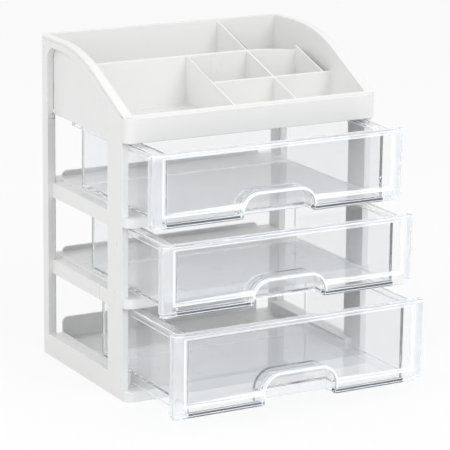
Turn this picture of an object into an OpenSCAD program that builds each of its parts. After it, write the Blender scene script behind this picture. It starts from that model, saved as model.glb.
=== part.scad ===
// Dustproof makeup organizer: a white stand with a sloped top tray and three clear drawers.
// The drawers are drawn partly open, the lowest one furthest.
// X runs across the width, Y from front to back, Z up. The origin is the middle of the footprint.

/* [Stand] */
// Width of the stand
stand_w = 240; // [200:1:300]
// Depth of the stand
stand_d = 168; // [140:1:200]
// Thickness of the side frames
side_t = 6; // [4:0.1:8]
// Width of each front post, from front to back
front_post_d = 27; // [18:0.5:34]
// Width of each rear post, from front to back
rear_post_d = 17; // [12:0.5:26]
// How far the rear posts thicken inwards below the tray
rear_rib_t = 1.5; // [1:0.1:4]
// Height of the bottom rail of each side frame
bottom_rail_h = 19.6; // [14:0.2:26]
// Radius of the rear corners of the stand, seen from above
rear_r = 9; // [4:0.5:10]
// Height of the edge band along the arched top of each side frame
arch_band = 8.5; // [6:0.5:12]
// Radius of the upper rear corner of the side windows
arch_corner_r = 12; // [4:1:18]

/* [Shelves] */
// Height of the deck of the base
base_h = 9; // [7:0.5:12]
// Height of the deck of the lower shelf
lower_shelf_z = 89; // [84:1:96]
// Height of the deck of the upper shelf
upper_shelf_z = 158; // [152:1:166]
// Depth of the front lips
lip_d = 8.3; // [6:0.1:10]
// Height of the front lip of the two shelves
lip_h = 8; // [6:0.5:10]
// Thickness of decks, skins and ribs
deck_t = 2.4; // [1.6:0.1:3.2]
// How far the side bands of the shelves sit in from the outer face
band_inset = 4.5; // [3:0.1:5.5]
// Width of the ledges beside the drawers, measured from the outer face
ledge_w = 14.5; // [12:0.5:16]
// Height of the side bands of the shelves
band_h = 13; // [10:0.5:16]
// Step from the deck down to the ledge
ledge_step = 1.5; // [0.5:0.1:2.5]
// Height of the rear stops above the decks of the two shelves
stop_h = 4; // [3:0.5:8]
// Height of the rear stop above the deck of the base
base_stop_h = 19; // [12:0.5:24]
// Distance from the outer face to the ends of the rear stops
stop_inset = 21; // [18:1:30]
// Corner radius of the rear stops
stop_r = 5; // [2:0.5:5.5]

/* [Top tray] */
// Height of the lower edge of the front band
tray_z = 221; // [214:1:228]
// Height of the rim at the front
rim_front_z = 242.4; // [238:0.2:250]
// Height of the rim at the back
rim_rear_z = 285.7; // [270:0.1:300]
// Slope of the rim at the front
rim_slope = 26.6; // [20:0.2:32]
// Length of the bend between the slope and the flat, on each side of their corner
rim_bend = 34.5; // [20:0.5:46]
// Length of the flat of the rim before the slope begins
rim_flat = 4; // [2:0.5:8]
// Thickness of the rim flange over the side frames
rim_t = 3; // [2:0.1:4]
// Width of the rim at the sides
rim_w = 7; // [6.6:0.1:10]
// Width of the rim at the front
rim_front_w = 7; // [4:0.2:7.5]
// Width of the rim at the back
rim_rear_w = 5; // [3.5:0.1:7]
// How much the side walls lean in from the rim to the floor
tray_draft = 2.5; // [0:0.1:4]
// Thickness of the floor of the tray
tray_floor_t = 2.4; // [1.6:0.1:3.2]
// How far the sides of the basin reach below its floor
skirt_h = 4; // [1:0.5:6]
// Thickness of the dividers
divider_t = 1.8; // [1.2:0.1:2.6]
// How far the dividers stay below the rim at the back wall
divider_drop = 2; // [1:0.5:6]
// Slope of the top edges of the dividers
divider_slope = 17.8; // [14:0.2:20]
// Distance from the left face to the divider of the front left compartment
left_divider_x = 114; // [80:1:130]
// Distance from the left face to the long divider
long_divider_x = 174; // [150:1:186]
// Distance from the left face to the short divider of the narrow slot
slot_divider_x = 224; // [212:1:226]
// Distance from the front face to the divider that crosses the tray
cross_divider_y = 110; // [90:1:125]
// Distance from the front face to the divider between the small compartments
small_divider_y = 63; // [40:1:75]
// How far the cross divider falls towards the narrow slot
cross_fall = 4; // [2:0.5:6]

/* [Drawers] */
// How far the top drawer is drawn out
top_open = 44; // [0:1:90]
// How far the middle drawer is drawn out
middle_open = 63; // [0:1:90]
// How far the bottom drawer is drawn out
bottom_open = 83; // [0:1:90]
// Wall thickness of the clear boxes and fronts
clear_t = 2; // [1.6:0.1:2.6]
// Gap between a drawer front and the lips above and below it
front_gap = 0.7; // [0.4:0.1:1.2]
// How far a drawer front stays in from each side face
front_inset = 0.5; // [0:0.1:2]
// Depth of a drawer front, from its face to its back edge
front_d = 8; // [6:0.1:8.2]
// Width of the upright borders of a drawer front
border_w = 9.5; // [7:0.5:12]
// Height of the top border of a drawer front
top_border = 3; // [2:0.2:5]
// Height of the bottom border of a drawer front
bottom_border = 9.5; // [8:0.5:12]
// How far the borders stand proud of the panel
border_proud = 1.4; // [0.6:0.1:2]
// Height of the plinth below the borders
plinth_h = 4; // [3:0.2:5]
// How far the plinth is set back
plinth_inset = 1; // [0.6:0.1:1.6]
// Corner radius of a drawer front
front_r = 3; // [2:0.2:4]
// Width of the bevelled step between the borders and the panel
step_w = 2.4; // [1.5:0.1:3.5]
// Width of the opening of a finger pull
pull_w = 68; // [56:1:80]
// Height of the finger pulls of the two upper drawers, above the bottom edge of their fronts
pull_h = 19.5; // [17:0.5:24]
// Height of the finger pull of the bottom drawer
bottom_pull_h = 24.5; // [20:0.5:30]
// Radius of the upper corners of a finger pull
pull_r = 15; // [10:0.5:16]
// Depth of a finger pull, from the face of the front to its back
pull_d = 20; // [15:1:26]
// Side gap between a drawer rim and the rear posts
rim_gap = 0.5; // [0.4:0.1:1]
// Width of the rim flange of a clear box
box_rim_w = 10.5; // [8.5:0.1:12]
// Height of the turned-down edge of that flange
box_rim_h = 6; // [3:0.5:8]
// Gap between the rear edge of a closed drawer and the back of the stand
rear_gap = 1; // [0.5:0.1:3]
// How far the back wall of a box stays inside its rim
box_rear_inset = 3; // [2.5:0.1:5]
// Height of the foot rim below the floor of the two upper boxes
foot_h = 1.5; // [1:0.1:3]
// Height of the foot rim below the floor of the bottom box
bottom_foot_h = 8; // [4:0.5:10]

/* [Hidden] */
$fn = 64;
lap = 1;
lip_r = lip_d - 0.5;

white = [0.93, 0.93, 0.925];
clear = [0.86, 0.9, 0.94, 0.35];

// Outline of the rim seen from the side: a slope, a round bend and a flat
bend_apex_y = rim_flat + (rim_rear_z - rim_front_z) / tan(rim_slope);
bend_r = rim_bend / tan(rim_slope / 2);
bend_start = [bend_apex_y - rim_bend * cos(rim_slope), rim_rear_z - rim_bend * sin(rim_slope)];
bend_end_y = bend_apex_y + rim_bend;

// The inner faces of the stand
rear_post_y = stand_d - rear_post_d;
front_post_end = lip_d + front_post_d;
rear_inner = side_t + rear_rib_t;

// The drawers
box_rim_x = rear_inner + rim_gap;
box_x = box_rim_x + box_rim_w - clear_t;
box_end = stand_d - rear_gap;
slide_gap = 0.3;
rim_gap_z = 1.2;

// Moves the corner of the stand's front left foot to its place
module stand_place() {
    translate([-stand_w / 2, -stand_d / 2, 0]) children();
}

// Mirrors a left-hand shape to the right-hand side
module mirrored() {
    translate([stand_w, 0, 0]) mirror([1, 0, 0]) children();
}

// Draws a side view, given as [y, z], from x = from to x = to
module across(from, to) {
    translate([from, 0, 0]) rotate([90, 0, 90]) linear_extrude(to - from) children();
}

// Draws a front view, given as [x, z], from y = from to y = to
module along(from, to) {
    translate([0, to, 0]) rotate([90, 0, 0]) linear_extrude(to - from) children();
}

// Everything under the rim line, moved in by drop at right angles to it
module under_rim(drop) {
    low = rim_front_z - drop;
    flat_end = rim_flat + drop * tan(rim_slope / 2);
    top = rim_rear_z - drop;
    start = bend_start + drop * [sin(rim_slope), -cos(rim_slope)];
    apex = [flat_end + (top - low) / tan(rim_slope), top];
    polygon([
        [0, 0], [0, low], [flat_end, low], start,
        [bend_end_y, top], [stand_d, top], [stand_d, 0]
    ]);
    intersection() {
        translate([bend_end_y, rim_rear_z - bend_r]) circle(bend_r - drop, $fn = 180);
        polygon([start, apex, [bend_end_y, top]]);
    }
}

// A plan with its two front corners rounded, from the left face inwards
module front_rounded(left, right, depth, r) {
    translate([left, r]) square([right - left, depth - r]);
    translate([left + r, 0]) square([right - left - 2 * r, depth]);
    intersection() {
        for (x = [left + r, right - r]) translate([x, r]) circle(r);
        translate([left, 0]) square([right - left, depth]);
    }
}

// The plan of the whole stand
module stand_plan() {
    intersection() {
        front_rounded(0, stand_w, stand_d, lip_r);
        translate([0, stand_d]) mirror([0, 1]) front_rounded(0, stand_w, stand_d, rear_r);
    }
}

// An upright plate with its two upper corners rounded, as a front view
module top_rounded(left, right, low, high, r) {
    translate([left, low]) square([right - left, high - low - r]);
    translate([left + r, low]) square([right - left - 2 * r, high - low]);
    intersection() {
        for (x = [left + r, right - r]) translate([x, high - r]) circle(r);
        translate([left, low]) square([right - left, high - low]);
    }
}

// A side frame: front post, rear post, bottom rail and arched top edge round one tall window
module side_frame() {
    window_w = rear_post_y - front_post_end;
    window_top = rim_rear_z - arch_band;
    lock = 4.4;
    lock_z = tray_z - 3.5;
    difference() {
        union() {
            across(0, side_t) intersection() {
                under_rim(rim_t);
                translate([lip_d, 0]) square([stand_d - lip_d, rim_rear_z]);
            }
            translate([side_t - lap, rear_post_y, 0])
                cube([rear_rib_t + lap, rear_post_d, tray_z - 3]);
        }
        // the rounded rear corner
        difference() {
            translate([-1, stand_d - rear_r, -1]) cube([rear_r + 1, rear_r + 1, rim_rear_z]);
            translate([rear_r, stand_d - rear_r, -2]) cylinder(rim_rear_z + 2, rear_r, rear_r);
        }
        across(-1, side_t + 1) intersection() {
            under_rim(arch_band);
            union() {
                translate([front_post_end, bottom_rail_h])
                    square([window_w, window_top - bottom_rail_h - arch_corner_r]);
                translate([front_post_end, bottom_rail_h])
                    square([window_w - arch_corner_r, window_top - bottom_rail_h]);
                translate([rear_post_y - arch_corner_r, window_top - arch_corner_r])
                    circle(arch_corner_r);
            }
        }
        // the square slot of the tray's lock in the front face of the rear post
        translate([rear_inner - lock - 0.6, rear_post_y - 1, lock_z - lock]) cube([lock, 2, lock]);
    }
    // the lock's square head in that slot
    translate([rear_inner - lock, rear_post_y - 0.4, lock_z - lock + 0.6])
        cube([lock - 1.2, 1.6, lock - 1.2]);
}

module side_frame_left() {
    color(white) stand_place() side_frame();
}

module side_frame_right() {
    color(white) stand_place() mirrored() side_frame();
}

// The low upstand at the back of a deck that a closed drawer runs up to
module rear_stop(deck_z, height) {
    along(stand_d - deck_t, stand_d)
        top_rounded(stop_inset, stand_w - stop_inset, deck_z - deck_t, deck_z + height, stop_r);
}

// The front lip of a shelf or of the base, rounded at its corners
module front_lip(low, high) {
    translate([0, 0, low]) linear_extrude(high - low) front_rounded(0, stand_w, lip_d, lip_r);
}

// A deck between the side frames, from the lip to the back
module deck(z) {
    translate([side_t, lip_d - lap, z - deck_t])
        cube([stand_w - 2 * side_t, rear_post_y - lip_d + lap, deck_t]);
    translate([rear_inner, rear_post_y - lap, z - deck_t])
        cube([stand_w - 2 * rear_inner, rear_post_d + lap, deck_t]);
}

// A shelf: lip, deck, rear stop and a hollow band with a ledge along each side window
module shelf(z) {
    ledge_z = z - ledge_step;
    band_z = ledge_z - band_h;
    difference() {
        union() {
            front_lip(z - lip_h, z);
            deck(z);
        }
        for (side = [0, 1]) translate([side * stand_w, 0, 0]) mirror([side, 0, 0])
            translate([0, front_post_end, ledge_z])
                cube([ledge_w, rear_post_y - front_post_end, deck_t]);
    }
    rear_stop(z, stop_h);
    for (side = [0, 1]) translate([side * stand_w, 0, 0]) mirror([side, 0, 0]) {
        translate([band_inset, front_post_end, band_z])
            cube([deck_t, rear_post_y - front_post_end, band_h]);
        translate([band_inset, front_post_end, ledge_z - deck_t])
            cube([ledge_w - band_inset, rear_post_y - front_post_end, deck_t]);
    }
}

module lower_shelf() {
    color(white) stand_place() shelf(lower_shelf_z);
}

module upper_shelf() {
    color(white) stand_place() shelf(upper_shelf_z);
}

// The base: a deck on a skirt and ribs, with raised ledges beside the bottom drawer
module base_shelf() {
    ledge_front = lip_d + 12;
    ledge_len = rear_post_y - ledge_front;
    rib_h = base_h - deck_t + lap;
    color(white) stand_place() {
        difference() {
            union() {
                front_lip(0, base_h);
                deck(base_h);
                rear_stop(base_h, base_stop_h);
                for (side = [0, 1]) translate([side * stand_w, 0, 0]) mirror([side, 0, 0])
                    translate([side_t, ledge_front, base_h - deck_t])
                        cube([ledge_w - side_t, ledge_len, bottom_rail_h - base_h + deck_t]);
            }
            // the ledges are hollow from below
            for (side = [0, 1]) translate([side * stand_w, 0, 0]) mirror([side, 0, 0])
                translate([side_t + deck_t, ledge_front + deck_t, 0])
                    cube([ledge_w - side_t - 2 * deck_t, ledge_len - 2 * deck_t,
                          bottom_rail_h - deck_t]);
        }
        // skirts at the sides and the back, and ribs below the deck
        for (x = [side_t, stand_w - side_t - deck_t])
            translate([x, lip_d - lap, 0]) cube([deck_t, rear_post_y - lip_d + lap, rib_h]);
        translate([rear_inner, stand_d - deck_t, 0])
            cube([stand_w - 2 * rear_inner, deck_t, rib_h]);
        for (part = [0.25, 0.5, 0.75])
            translate([stand_w * part - deck_t / 2, lip_d - lap, 0])
                cube([deck_t, stand_d - lip_d, rib_h]);
        translate([ledge_w, stand_d / 2 - deck_t / 2, 0])
            cube([stand_w - 2 * ledge_w, deck_t, rib_h]);
    }
}

// The hollow of the tray, which narrows towards its floor
module tray_hollow() {
    floor_z = tray_z + tray_floor_t;
    top_z = rim_rear_z + 1;
    intersection() {
        translate([0, rim_front_w, floor_z])
            cube([stand_w, stand_d - rim_front_w - rim_rear_w, top_z - floor_z]);
        along(0, stand_d) polygon([
            [rim_w, top_z], [stand_w - rim_w, top_z],
            [stand_w - rim_w - tray_draft, floor_z], [rim_w + tray_draft, floor_z]
        ]);
    }
}

// The dividers of the tray, cut off below the rim
module tray_dividers() {
    half = divider_t / 2;
    floor_z = tray_z + tray_floor_t - lap;
    height = rim_rear_z - floor_z;
    front_y = rim_front_w - lap;
    back_y = stand_d - rim_rear_w + lap;
    fall_run = slot_divider_x - long_divider_x;
    fall_r = fall_run * fall_run / (2 * cross_fall);
    // the straight slope of the top edges, and its height at the cross divider
    rear_z = rim_rear_z - divider_drop;
    wall_y = stand_d - rim_rear_w;
    cross_z = rear_z - (wall_y - cross_divider_y) * tan(divider_slope);
    intersection() {
        across(0, stand_w) polygon([
            [0, 0], [0, rear_z - wall_y * tan(divider_slope)],
            [stand_d, rear_z + rim_rear_w * tan(divider_slope)], [stand_d, 0]
        ]);
        union() {
            translate([long_divider_x - half, front_y, floor_z])
                cube([divider_t, back_y - front_y, height]);
            translate([left_divider_x - half, front_y, floor_z])
                cube([divider_t, cross_divider_y - front_y, height]);
            translate([slot_divider_x - half, small_divider_y, floor_z])
                cube([divider_t, cross_divider_y - small_divider_y + half, height]);
            translate([rim_w - lap, cross_divider_y - half, floor_z])
                cube([long_divider_x - rim_w + lap, divider_t, height]);
            translate([left_divider_x, small_divider_y - half, floor_z])
                cube([stand_w - rim_w - left_divider_x + lap, divider_t, height]);
            // the last stretch of the cross divider falls in an arc to the slot divider
            along(cross_divider_y - half, cross_divider_y + half) intersection() {
                translate([long_divider_x, floor_z]) square([fall_run + half, height]);
                translate([long_divider_x, cross_z - fall_r]) circle(fall_r, $fn = 180);
            }
        }
    }
}

// The tray: front band, rim flange over the side frames, basin and dividers
module top_tray() {
    basin_x = side_t + 0.2;
    skirt_t = 1.3;
    rear_wall_t = 2;
    color(white) stand_place() difference() {
        union() {
            difference() {
                intersection() {
                    across(0, stand_w) under_rim(0);
                    translate([0, 0, tray_z]) linear_extrude(rim_rear_z) stand_plan();
                }
                // room for the side frames below the rim
                for (x = [-1, stand_w - basin_x]) across(x, x + basin_x + 1) difference() {
                    under_rim(rim_t);
                    square([lip_d, rim_rear_z]);
                }
                // the rear wall is thinner than its rim
                translate([-1, stand_d - rim_rear_w + rear_wall_t, tray_z - 1])
                    cube([stand_w + 2, rim_rear_w, rim_rear_z - rim_t - tray_z + 1]);
            }
            // lower edges of the basin's sides
            for (x = [basin_x, stand_w - basin_x - skirt_t])
                translate([x, front_post_end, tray_z - skirt_h])
                    cube([skirt_t, rear_post_y - front_post_end, skirt_h + lap]);
        }
        difference() {
            tray_hollow();
            tray_dividers();
        }
    }
}

// Plan of a box's outline, moved in by inset
module box_plan(inset, end, r) {
    left = box_x + inset;
    right = stand_w - box_x - inset;
    front = front_d;
    back = end - inset;
    translate([left, front]) square([right - left, back - front - r]);
    translate([left + r, front]) square([right - left - 2 * r, back - front]);
    for (x = [left + r, right - r]) translate([x, back - r]) circle(r);
}

// Front view of a finger pull's opening up to top, made larger all round by grow
module pull_outline(low, top, grow) {
    half = pull_w / 2 + grow;
    top_rounded(stand_w / 2 - half, stand_w / 2 + half, low, top + grow, pull_r + grow);
}

// A clear box between low and high: walls, a floor above a foot rim, a flange round its mouth
// and the hood of the finger pull, which reaches up to pull_top
module drawer_box(low, high, foot, pull_top) {
    rim_top = high - rim_gap_z;
    rim_r = 6;
    wall_end = box_end - box_rear_inset;
    wall_r = 4;
    floor_z = low + foot;
    difference() {
        union() {
            difference() {
                union() {
                    translate([0, 0, low]) linear_extrude(rim_top - low)
                        box_plan(0, wall_end, wall_r);
                    translate([0, 0, rim_top - box_rim_h]) linear_extrude(box_rim_h)
                        box_plan(box_rim_x - box_x, box_end + box_rim_x - box_x, rim_r);
                }
                // inside of the box
                translate([0, clear_t, floor_z + clear_t]) linear_extrude(high)
                    box_plan(clear_t, wall_end - clear_t, wall_r - clear_t);
                // inside of the foot rim
                translate([0, clear_t, low - 1]) linear_extrude(foot + 1)
                    box_plan(clear_t, wall_end - clear_t, wall_r - clear_t);
                // hollow of the turned-down flange
                translate([0, -1, rim_top - box_rim_h - 1]) linear_extrude(box_rim_h + 1 - clear_t)
                    difference() {
                        box_plan(box_rim_x - box_x + clear_t, box_end + box_rim_x - box_x + 1,
                                 rim_r - clear_t);
                        translate([0, 1]) box_plan(0, wall_end - 1, wall_r);
                    }
            }
            along(front_d, pull_d) pull_outline(low, pull_top, clear_t);
        }
        along(front_d - 1, pull_d - clear_t) pull_outline(low - 1, pull_top, 0);
    }
}

// A clear drawer front: a bordered panel on a plinth, with an arched finger pull cut in from below
module drawer_front(low, high, pull_top) {
    left = front_inset;
    right = stand_w - front_inset;
    panel_y = border_proud + clear_t;
    frame_low = low + plinth_h;
    difference() {
        union() {
            difference() {
                union() {
                    translate([0, 0, frame_low]) linear_extrude(high - frame_low)
                        front_rounded(left, right, front_d, front_r);
                    translate([0, plinth_inset, low]) linear_extrude(plinth_h + lap)
                        front_rounded(left + plinth_inset, right - plinth_inset,
                                      front_d - plinth_inset, front_r);
                }
                // the panel sits back inside the borders, behind a narrow step
                for (cut = [0, 1]) along(-1, border_proud * (cut + 1) / 2)
                    translate([left + border_w + cut * step_w, low + bottom_border + cut * step_w])
                        square([
                            right - left - 2 * (border_w + cut * step_w),
                            high - low - bottom_border - top_border - 1.5 * cut * step_w
                        ]);
                // hollow behind the panel, open to the back
                along(panel_y, front_d + 1)
                    translate([left + clear_t, low + clear_t + plinth_inset])
                        square([right - left - 2 * clear_t, high - low - 2 * clear_t - plinth_inset]);
            }
            // shell round the finger pull, from the face to the back edge
            along(0, front_d) pull_outline(low, pull_top, clear_t);
        }
        along(-1, front_d + 1) pull_outline(low - 1, pull_top, 0);
        // the shell's feet keep to the set-back plinth
        translate([0, -1, low - 1]) cube([stand_w, 1 + plinth_inset, 1 + plinth_h]);
    }
}

// Places a drawer part, drawn out by open
module drawn_out(open) {
    color(clear) stand_place() translate([0, -open, 0]) children();
}

module top_drawer_box() {
    drawn_out(top_open) drawer_box(upper_shelf_z + slide_gap, tray_z - front_gap, foot_h,
                                   upper_shelf_z + front_gap + pull_h);
}

module top_drawer_front() {
    drawn_out(top_open) drawer_front(upper_shelf_z + front_gap, tray_z - front_gap,
                                     upper_shelf_z + front_gap + pull_h);
}

module middle_drawer_box() {
    drawn_out(middle_open) drawer_box(lower_shelf_z + slide_gap, upper_shelf_z - lip_h - front_gap,
                                      foot_h, lower_shelf_z + front_gap + pull_h);
}

module middle_drawer_front() {
    drawn_out(middle_open) drawer_front(lower_shelf_z + front_gap,
                                        upper_shelf_z - lip_h - front_gap,
                                        lower_shelf_z + front_gap + pull_h);
}

module bottom_drawer_box() {
    drawn_out(bottom_open) drawer_box(base_h + slide_gap, lower_shelf_z - lip_h - front_gap,
                                      bottom_foot_h, base_h + front_gap + bottom_pull_h);
}

module bottom_drawer_front() {
    drawn_out(bottom_open) drawer_front(base_h + front_gap, lower_shelf_z - lip_h - front_gap,
                                        base_h + front_gap + bottom_pull_h);
}

side_frame_left();
side_frame_right();
base_shelf();
lower_shelf();
upper_shelf();
top_tray();
top_drawer_box();
top_drawer_front();
middle_drawer_box();
middle_drawer_front();
bottom_drawer_box();
bottom_drawer_front();
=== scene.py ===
# %% [markdown]
# # A desktop make-up organizer in white and clear plastic
# The real object is a white stand: two arched side frames, three decks and a divided tray on top.
# Three clear drawers slide on the decks. The frame below is the measured model of all of it.
# This lesson gives every moulding soft edges and a plastic finish, and lights it like a picture
# in a catalogue.

# %% Load the measured frame
import math
import bmesh
import bpy
from mathutils import Matrix, Vector


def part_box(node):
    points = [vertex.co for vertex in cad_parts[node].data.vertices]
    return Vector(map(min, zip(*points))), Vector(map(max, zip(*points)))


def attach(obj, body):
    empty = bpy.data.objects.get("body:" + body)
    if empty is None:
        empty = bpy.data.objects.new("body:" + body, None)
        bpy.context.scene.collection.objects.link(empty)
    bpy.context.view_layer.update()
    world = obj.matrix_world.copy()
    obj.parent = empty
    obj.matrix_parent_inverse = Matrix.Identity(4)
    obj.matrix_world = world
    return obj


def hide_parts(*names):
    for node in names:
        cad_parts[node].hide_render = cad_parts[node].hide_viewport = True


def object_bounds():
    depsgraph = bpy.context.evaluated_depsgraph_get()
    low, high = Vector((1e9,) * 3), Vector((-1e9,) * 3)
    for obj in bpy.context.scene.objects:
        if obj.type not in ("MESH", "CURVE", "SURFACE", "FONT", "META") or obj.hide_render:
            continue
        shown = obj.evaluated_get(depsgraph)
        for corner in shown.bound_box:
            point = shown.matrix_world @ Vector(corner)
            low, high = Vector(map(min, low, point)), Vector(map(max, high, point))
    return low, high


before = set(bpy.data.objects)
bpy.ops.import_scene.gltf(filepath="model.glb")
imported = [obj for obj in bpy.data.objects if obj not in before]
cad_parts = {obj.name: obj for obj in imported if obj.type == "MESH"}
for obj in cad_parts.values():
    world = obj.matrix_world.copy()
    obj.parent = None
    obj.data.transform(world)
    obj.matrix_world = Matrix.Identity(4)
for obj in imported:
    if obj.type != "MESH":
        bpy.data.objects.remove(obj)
cad_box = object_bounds()
print("size in mm:", [round(1000 * (high - low), 1) for low, high in zip(*cad_box)])

# %% [markdown]
# ## The camera first
# Everything is matched to one picture, so the camera comes before the looks. It stands to the
# left of the object, about two metres away and a little above it, with a long lens. A camera looks
# along its own -Z, so the matrix is built from three directions: right, up and backwards.

# %% Camera from a yaw, a pitch and a roll
CAMERA_PLACE = Vector((-1.0197, -1.8574, 0.6731))
YAW = math.radians(29.222)
PITCH = math.radians(-14.614)
ROLL = math.radians(0.647)
SENSOR_MM = 36.0
PICTURE_PX = 450
FOCAL_PX = 2510.1
FARTHEST_SEEN = 50.0

forward = Vector((math.sin(YAW) * math.cos(PITCH),
                  math.cos(YAW) * math.cos(PITCH),
                  math.sin(PITCH)))
level = Vector((math.cos(YAW), -math.sin(YAW), 0.0))
upright = level.cross(forward)
right = level * math.cos(ROLL) + upright * math.sin(ROLL)
up = upright * math.cos(ROLL) - level * math.sin(ROLL)

camera_data = bpy.data.cameras.new("camera")
camera_data.sensor_width = SENSOR_MM
camera_data.lens = FOCAL_PX * SENSOR_MM / PICTURE_PX
camera_data.clip_end = FARTHEST_SEEN
camera = bpy.data.objects.new("camera", camera_data)
bpy.context.scene.collection.objects.link(camera)
turn = Matrix((right, up, -forward)).transposed().to_4x4()
camera.matrix_world = Matrix.Translation(CAMERA_PLACE) @ turn
bpy.context.scene.camera = camera
print("lens:", round(camera_data.lens, 1), "mm")

# %% [markdown]
# ## Shader maths that reads like maths
# A material here is a graph of nodes. Wiring them by hand hides what is worked out, so one small
# class wraps a socket and lets Python's own operators add the Math nodes. The other class adds any
# other node from its type, its settings and its sockets.

# %% A socket that can be calculated with, and a graph that makes nodes
# A Mix node has a set of sockets for each kind of data. These are the ones for colours.
COLOR_A, COLOR_B, COLOR_RESULT = 6, 7, 2


class Value:
    """An output socket with arithmetic, also with a number in front, as in 1 - mask."""

    def __init__(self, graph, socket):
        self.graph = graph
        self.socket = socket

    def _math(self, operation, first, second):
        return self.graph.node("ShaderNodeMath", {"operation": operation}, {0: first, 1: second})

    def __add__(self, other):
        return self._math("ADD", self, other)

    def __sub__(self, other):
        return self._math("SUBTRACT", self, other)

    def __rsub__(self, other):
        return self._math("SUBTRACT", other, self)

    def __mul__(self, other):
        return self._math("MULTIPLY", self, other)

    def __pow__(self, other):
        return self._math("POWER", self, other)

    def __rpow__(self, other):
        return self._math("POWER", other, self)

    __radd__ = __add__
    __rmul__ = __mul__


class Graph:
    """The nodes of one material or of the world."""

    def __init__(self, tree):
        self.tree = tree
        tree.nodes.clear()

    def node(self, kind, settings=None, inputs=None, out=0):
        """A new node with its settings and inputs. Gives back its output called out."""
        made = self.tree.nodes.new(kind)
        for name, setting in (settings or {}).items():
            setattr(made, name, setting)
        for name, value in (inputs or {}).items():
            if isinstance(value, Value):
                self.tree.links.new(value.socket, made.inputs[name])
            else:
                made.inputs[name].default_value = value
        return Value(self, made.outputs[out]) if made.outputs else None

    def tint(self, factor, first, second):
        """A colour between two colours."""
        return self.node("ShaderNodeMix", {"data_type": "RGBA"},
                         {0: factor, COLOR_A: (*first, 1.0), COLOR_B: (*second, 1.0)},
                         out=COLOR_RESULT)


def new_material(name):
    material = bpy.data.materials.new(name)
    material.use_nodes = True
    return material, Graph(material.node_tree)


print("shader helpers are ready")

# %% [markdown]
# ## The white plastic
# The stand is injection-moulded and off-white, between satin and gloss. Up close such a surface is
# not even: it has a fine peel from the mould, wide soft waves where the wall cooled, faint wiped
# marks in the gloss and tiny differences in tone. Each of those is one noise texture in object
# space, at its real size, so it stays in place when a drawer moves.

# %% White moulded plastic
MILLIMETRE = 0.001
TONE_MM, WIPED_MM, PEEL_MM, COOLED_MM = 60, 14, 0.9, 45
WIPED_STRETCH = (1.0, 1.0, 0.35)
PEEL_SHARE = 0.06
WIPED_SPREAD = 0.10
WHITE_BUMP = 0.25
WHITE_IOR = 1.53


def noise(graph, size_mm, detail, stretch=(1.0, 1.0, 1.0)):
    """Noise with blotches of about size_mm, fixed to the object, from 0 to 1."""
    place = graph.node("ShaderNodeTexCoord", out="Object")
    scaled = graph.node("ShaderNodeVectorMath", {"operation": "MULTIPLY"}, {0: place, 1: stretch})
    return graph.node("ShaderNodeTexNoise", inputs={
        "Vector": scaled, "Scale": 1.0 / (size_mm * MILLIMETRE), "Detail": detail})


def bumpy(graph, height, amount):
    """A normal for bumps. The amount is both their strength and their height in millimetres."""
    return graph.node("ShaderNodeBump", inputs={
        "Strength": amount, "Distance": amount * MILLIMETRE, "Height": height})


def white_plastic(name, light, dark, roughness):
    """White plastic between two tones, with wiped marks that add to its roughness."""
    material, graph = new_material(name)
    tone = noise(graph, TONE_MM, detail=3.0)
    wiped = noise(graph, WIPED_MM, detail=4.0, stretch=WIPED_STRETCH)
    peel = noise(graph, PEEL_MM, detail=1.0)
    cooled = noise(graph, COOLED_MM, detail=1.0)
    shader = graph.node("ShaderNodeBsdfPrincipled", inputs={
        "Base Color": graph.tint(tone, dark, light),
        "Roughness": wiped * WIPED_SPREAD + roughness,
        "IOR": WHITE_IOR,
        "Normal": bumpy(graph, peel * PEEL_SHARE + cooled, WHITE_BUMP)})
    graph.node("ShaderNodeOutputMaterial", inputs={"Surface": shader})
    return material


frame_white = white_plastic("frame_white", light=(0.86, 0.86, 0.855), dark=(0.835, 0.835, 0.83),
                            roughness=0.24)
tray_white = white_plastic("tray_white", light=(0.86, 0.86, 0.857), dark=(0.84, 0.84, 0.836),
                           roughness=0.20)
print("white plastics:", frame_white.name, tray_white.name)

# %% [markdown]
# ## The clear plastic
# The drawers are clear plastic, with walls about two millimetres thick. The walls are modelled as
# real solids, so light bends in and out of them. Light from lamps can't find its way through bent
# surfaces quickly, so for shadow rays the same wall counts as a pale see-through film.
# The versions differ in how clear they are: the walls are clear, the thick borders of the fronts
# are a little milky, and the rounded edges are milkier and get a faint painted glow, which stands
# in for the light a real wall gathers and lets out at its edges.
# The boxes bend light less than real plastic does, which keeps their thin walls as faint as in the
# picture.

# %% Clear moulded plastic
WAVE_MM, SMEAR_MM = 38, 20
SMEAR_STRETCH = (1.0, 1.0, 0.4)
CLEAR_BUMP = 0.05
CLEAR_IOR = 1.49
LOW_IOR = 1.30
SMEAR_CONTRAST = 3.0
SMEAR_SPREAD = 0.05
LEAST_ROUGHNESS = 0.005
# The colour of the painted glow on the clear edges.
PAINTED_EDGE_GLOW = (0.93, 0.96, 1.0, 1.0)
FILM_TINT = (0.93, 0.94, 0.95, 1.0)


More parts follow.
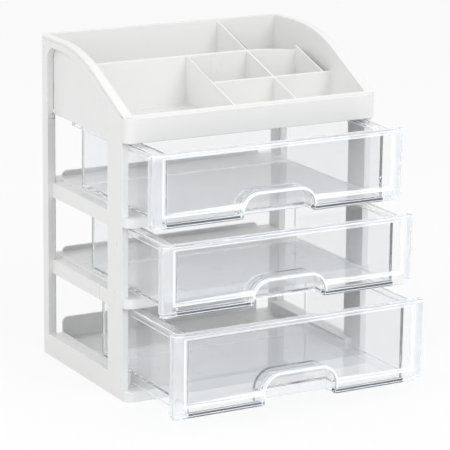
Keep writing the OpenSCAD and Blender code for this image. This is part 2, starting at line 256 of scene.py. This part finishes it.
def clear_plastic(name, tint, thin_tint, clearness, bending=CLEAR_IOR, painted_glow_strength=0.0):
    """Clear plastic between two tints. A low clearness is milky, and the glow is painted light."""
    material, graph = new_material(name)
    wave = noise(graph, WAVE_MM, detail=1.0)
    smear = noise(graph, SMEAR_MM, detail=4.0, stretch=SMEAR_STRETCH)
    glassy = graph.node("ShaderNodeBsdfPrincipled", inputs={
        "Base Color": graph.tint(smear, tint, thin_tint),
        "Roughness": smear ** SMEAR_CONTRAST * SMEAR_SPREAD + LEAST_ROUGHNESS,
        "IOR": bending,
        "Transmission Weight": clearness,
        # The emission is a painted glow: light that no lamp gives, standing in for light out of a
        # wall.
        "Emission Color": PAINTED_EDGE_GLOW,
        "Emission Strength": painted_glow_strength,
        "Normal": bumpy(graph, wave, CLEAR_BUMP)})
    film = graph.node("ShaderNodeBsdfTransparent", inputs={"Color": FILM_TINT})
    shadow_ray = graph.node("ShaderNodeLightPath", out="Is Shadow Ray")
    mixed = graph.node("ShaderNodeMixShader", inputs={0: shadow_ray, 1: glassy, 2: film})
    graph.node("ShaderNodeOutputMaterial", inputs={"Surface": mixed})
    return material


box_clear = clear_plastic("box_clear", (0.955, 0.96, 0.967), (0.965, 0.968, 0.974),
                          clearness=0.97, bending=LOW_IOR)
front_clear = clear_plastic("front_clear", (0.95, 0.957, 0.966), (0.96, 0.965, 0.973),
                            clearness=0.985)
border_clear = clear_plastic("border_clear", (0.95, 0.965, 0.985), (0.97, 0.977, 0.99),
                             clearness=0.72)
# Rounds and cut ends of clear walls: milky, with a faint painted glow.
milky_edges_painted_glow = clear_plastic("milky_edges_painted_glow", (0.95, 0.965, 0.985), (0.97, 0.98, 0.995),
                           clearness=0.35, painted_glow_strength=0.10)
print("clear plastics:", [m.name for m in (box_clear, front_clear, border_clear, milky_edges_painted_glow)])

# %% [markdown]
# ## Soft edges on every moulding
# No moulded edge is sharp: each has a small round that catches the light, and those lines of light
# are most of what the eye reads as plastic. A shader could fake the rounds, but only real ones are
# in the mesh itself. So each measured solid is copied, its points are welded, and the edges
# where two surfaces meet are rounded. Flat faces keep their own normals, so that only the rounds
# shade softly. On clear pieces the rounds and the narrow cut ends of the walls are milky and get
# a faint painted glow, which stands in for the light that a real wall carries inside and lets out
# there. The copy stands in for the measured node and rides on the same body.

# %% Copy a measured node and round its edges
EDGE_ANGLE = math.radians(28)
NARROW = 2.6 * MILLIMETRE
LEAN = math.cos(math.radians(40))
WELD = 1e-6
FRONT_FACING = 0.9
BEVEL_SEGMENTS = 3
LARGE_FACE_WEIGHT = 100
WALL, EDGE, BORDER = 0, 1, 2


def welded_copy(node, name, cuts):
    """A node's mesh with its split points joined again, and its faces split along the cuts."""
    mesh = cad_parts[node].data.copy()
    mesh.name = name
    work = bmesh.new()
    work.from_mesh(mesh)
    bmesh.ops.remove_doubles(work, verts=work.verts, dist=WELD)
    for point, across in cuts:
        everything = work.verts[:] + work.edges[:] + work.faces[:]
        bmesh.ops.bisect_plane(work, geom=everything, dist=WELD, plane_co=point, plane_no=across)
    work.to_mesh(mesh)
    work.free()
    return mesh


def weigh_edges(mesh, share):
    """Marks the edges to round. share(middle) says how much of the full radius one gets."""
    work = bmesh.new()
    work.from_mesh(mesh)
    weight = work.edges.layers.float.new("bevel_weight_edge")
    for edge in work.edges:
        if len(edge.link_faces) == 2 and edge.calc_face_angle(0.0) > EDGE_ANGLE:
            edge[weight] = share((edge.verts[0].co + edge.verts[1].co) / 2)
    work.to_mesh(mesh)
    work.free()


def is_cut_end(mesh, face):
    """Whether a face is the narrow front or rear end of a wall."""
    corners = [mesh.vertices[index].co for index in face.vertices]
    spans = sorted(max(along) - min(along) for along in zip(*corners))
    return abs(face.normal.y) > FRONT_FACING and spans[1] < NARROW


def straighten(mesh):
    """Gives a corner its face's own normal where the shared one leans too far from it."""
    normals = [corner.vector.copy() for corner in mesh.corner_normals]
    for face in mesh.polygons:
        for corner in face.loop_indices:
            if normals[corner].dot(face.normal) < LEAN:
                normals[corner] = face.normal.copy()
    mesh.normals_split_custom_set(normals)


def soften(node, piece_name, body, materials, radius_mm, share=lambda middle: 1.0,
           cuts=(), in_border=lambda middle: False):
    """Replaces a node by a round-edged copy of it.

    The materials are for the walls, for rounded edges and cut ends, and for a thick border.
    """
    mesh = welded_copy(node, piece_name, cuts)
    weigh_edges(mesh, share)
    mesh.materials.clear()
    for material in materials:
        mesh.materials.append(material)
    if len(materials) > 1:
        for face in mesh.polygons:
            face.material_index = (BORDER if in_border(face.center)
                                   else EDGE if is_cut_end(mesh, face) else WALL)
    mesh.polygons.foreach_set("use_smooth", [True] * len(mesh.polygons))
    piece = bpy.data.objects.new(piece_name, mesh)
    bpy.context.scene.collection.objects.link(piece)
    bevel = piece.modifiers.new("round_edges", "BEVEL")
    bevel.width = radius_mm * MILLIMETRE
    bevel.segments = BEVEL_SEGMENTS
    bevel.limit_method = "WEIGHT"
    bevel.use_clamp_overlap = False
    bevel.miter_outer = "MITER_ARC"
    bevel.face_strength_mode = "FSTR_ALL"
    if len(materials) > 1:
        bevel.material = EDGE
    flatten = piece.modifiers.new("keep_flats_flat", "WEIGHTED_NORMAL")
    flatten.mode = "FACE_AREA"
    flatten.weight = LARGE_FACE_WEIGHT
    flatten.use_face_influence = True
    bpy.context.view_layer.update()
    depsgraph = bpy.context.evaluated_depsgraph_get()
    rounded = bpy.data.meshes.new_from_object(piece.evaluated_get(depsgraph))
    rounded.name = piece_name
    straighten(rounded)
    piece.modifiers.clear()
    piece.data = rounded
    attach(piece, body)
    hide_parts(node)
    print(piece_name, len(rounded.polygons), "faces")


# %% [markdown]
# ## The white stand
# Six white mouldings: two side frames, three decks and the tray. Their rounds are about half a
# millimetre, a little larger on the tray's rim, which is what a hand touches.

# %% Side frames, decks and tray
FRAME_ROUND = 0.5
DECK_ROUND = 0.45
RIM_ROUND = 0.8
DIVIDER_SHARE = 0.7
OUTER_BAND = 3 * MILLIMETRE
tray_low, tray_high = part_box("top_tray")


def rim_share(middle):
    """Full radius on the outside of the tray and on its rim, less on the dividers."""
    from_outside = min(middle.x - tray_low.x, tray_high.x - middle.x,
                       middle.y - tray_low.y, tray_high.y - middle.y)
    return 1.0 if from_outside < OUTER_BAND else DIVIDER_SHARE


for side in ("left", "right"):
    soften(f"side_frame_{side}", f"arched_side_{side}", "stand", [frame_white],
           FRAME_ROUND)
for deck in ("base_shelf", "lower_shelf", "upper_shelf"):
    soften(deck, f"{deck}_moulding", "stand", [frame_white], DECK_ROUND)
soften("top_tray", "top_tray_moulding", "stand", [tray_white], RIM_ROUND, rim_share)

# %% [markdown]
# ## The clear drawers
# Each drawer is a box and a bordered front. A box has thin walls, so its rounds are smaller.
# A front's border is thicker than its middle and looks milkier. It could be a piece of its own,
# but on the real object it is one moulding with the front. So the front's faces are split along
# the border, and those beyond the splits get the milky plastic.

# %% Boxes and fronts
BOX_ROUND = 0.3
CLEAR_FRONT_ROUND = 0.35
BORDER_WIDTH = 9.5 * MILLIMETRE
BORDER_HEIGHT = 3.0 * MILLIMETRE


def border_of(front):
    """The three planes along the thick border of a front, and a test of what lies beyond them."""
    low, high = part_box(front)
    left, right = low.x + BORDER_WIDTH, high.x - BORDER_WIDTH
    top = high.z - BORDER_HEIGHT
    planes = [((left, 0, 0), (1, 0, 0)), ((right, 0, 0), (1, 0, 0)), ((0, 0, top), (0, 0, 1))]
    return planes, lambda middle: middle.x < left or middle.x > right or middle.z > top


for level_name in ("top", "middle", "bottom"):
    drawer = f"{level_name}_drawer"
    planes, in_border = border_of(f"{drawer}_front")
    soften(f"{drawer}_box", f"{drawer}_clear_box", drawer, [box_clear, milky_edges_painted_glow],
           BOX_ROUND)
    soften(f"{drawer}_front", f"{drawer}_clear_front", drawer,
           [front_clear, milky_edges_painted_glow, border_clear], CLEAR_FRONT_ROUND, cuts=planes,
           in_border=in_border)

# %% [markdown]
# ## Floor, background and light
# The picture has a white background that melts into the floor, with a faint shadow. Turning the
# lamps up until everything clips would wash out the white plastic too. Instead the floor and the
# world are white only to rays that see them directly, in a reflection or through clear plastic.

# %% A white floor that keeps its shadow
WHITE = (1.0, 1.0, 1.0, 1.0)
FLOOR_HALF = 4.0
FLOOR_GREY = 0.80
FLOOR_GLOW = 0.78
GLOW_STRENGTH = 1.04

floor_mesh = bpy.data.meshes.new("floor")
corners = [(-1, -1), (1, -1), (1, 1), (-1, 1)]
points = [(x * FLOOR_HALF, y * FLOOR_HALF, 0.0) for x, y in corners]
floor_mesh.from_pydata(points, [], [(0, 1, 2, 3)])
floor = bpy.data.objects.new("floor", floor_mesh)
bpy.context.scene.collection.objects.link(floor)


def seen_directly(graph):
    """1 for rays that show the background: direct, in a reflection or through the plastic."""
    seen = graph.node("ShaderNodeLightPath", out="Is Camera Ray")
    mirrored = graph.node("ShaderNodeLightPath", out="Is Glossy Ray")
    through = graph.node("ShaderNodeLightPath", out="Is Transmission Ray")
    return 1.0 - (1.0 - seen) * (1.0 - mirrored) * (1.0 - through)


floor_material, floor_graph = new_material("floor_white")
plain = floor_graph.node("ShaderNodeBsdfDiffuse", inputs={
    "Color": (FLOOR_GREY, FLOOR_GREY, FLOOR_GREY, 1.0)})
glow = floor_graph.node("ShaderNodeEmission", inputs={"Color": WHITE, "Strength": GLOW_STRENGTH})
lit = floor_graph.node("ShaderNodeMixShader", inputs={
    0: seen_directly(floor_graph) * FLOOR_GLOW, 1: plain, 2: glow})
floor_graph.node("ShaderNodeOutputMaterial", inputs={"Surface": lit})
floor_mesh.materials.append(floor_material)
print("floor:", 2 * FLOOR_HALF, "m wide")

# %% [markdown]
# ## Soft light from everywhere, and three lamps
# The picture is lit softly, with faint shadows. The world alone could give that, but then nothing
# would shine. So the world gives an even light, and three large lamps add the sheen on the white
# plastic and, together with the painted glow of the clear edges, the bright lines along them.

# %% World and lamps
WORLD_LIGHT = 0.70

world = bpy.data.worlds.new("studio")
world.use_nodes = True
bpy.context.scene.world = world
world_graph = Graph(world.node_tree)
soft = world_graph.node("ShaderNodeBackground", inputs={"Color": WHITE, "Strength": WORLD_LIGHT})
white = world_graph.node("ShaderNodeBackground", inputs={"Color": WHITE, "Strength": 1.0})
shown = world_graph.node("ShaderNodeMixShader", inputs={
    0: seen_directly(world_graph), 1: soft, 2: white})
world_graph.node("ShaderNodeOutputWorld", inputs={"Surface": shown})


def soft_box(name, place, width, height, watts):
    """A rectangular lamp that faces the middle of the object."""
    data = bpy.data.lights.new(name, "AREA")
    data.shape = "RECTANGLE"
    data.size = width
    data.size_y = height
    data.energy = watts
    lamp = bpy.data.objects.new(name, data)
    target = (Vector(cad_box[0]) + Vector(cad_box[1])) / 2
    lamp.location = place
    lamp.rotation_euler = (target - Vector(place)).to_track_quat("-Z", "Y").to_euler()
    bpy.context.scene.collection.objects.link(lamp)


soft_box("key", place=(0.4, -1.9, 1.3), width=1.4, height=1.0, watts=17.0)
soft_box("fill", place=(-1.8, -0.3, 1.3), width=1.0, height=1.2, watts=9.5)
soft_box("top", place=(0.1, 0.3, 2.2), width=1.6, height=1.6, watts=2.5)

# %% [markdown]
# ## Bounces and colour management
# Light crosses many clear walls and is reflected many times inside each, so it is allowed more
# bounces than usual, or the walls' ends turn black. The Standard view shows a colour as it is
# written.

# %% View settings and the end
LIGHT_BOUNCES = 32
cycles = bpy.context.scene.cycles
cycles.max_bounces = LIGHT_BOUNCES
cycles.glossy_bounces = LIGHT_BOUNCES
cycles.transmission_bounces = LIGHT_BOUNCES
cycles.transparent_max_bounces = LIGHT_BOUNCES
bpy.context.scene.view_settings.view_transform = "Standard"
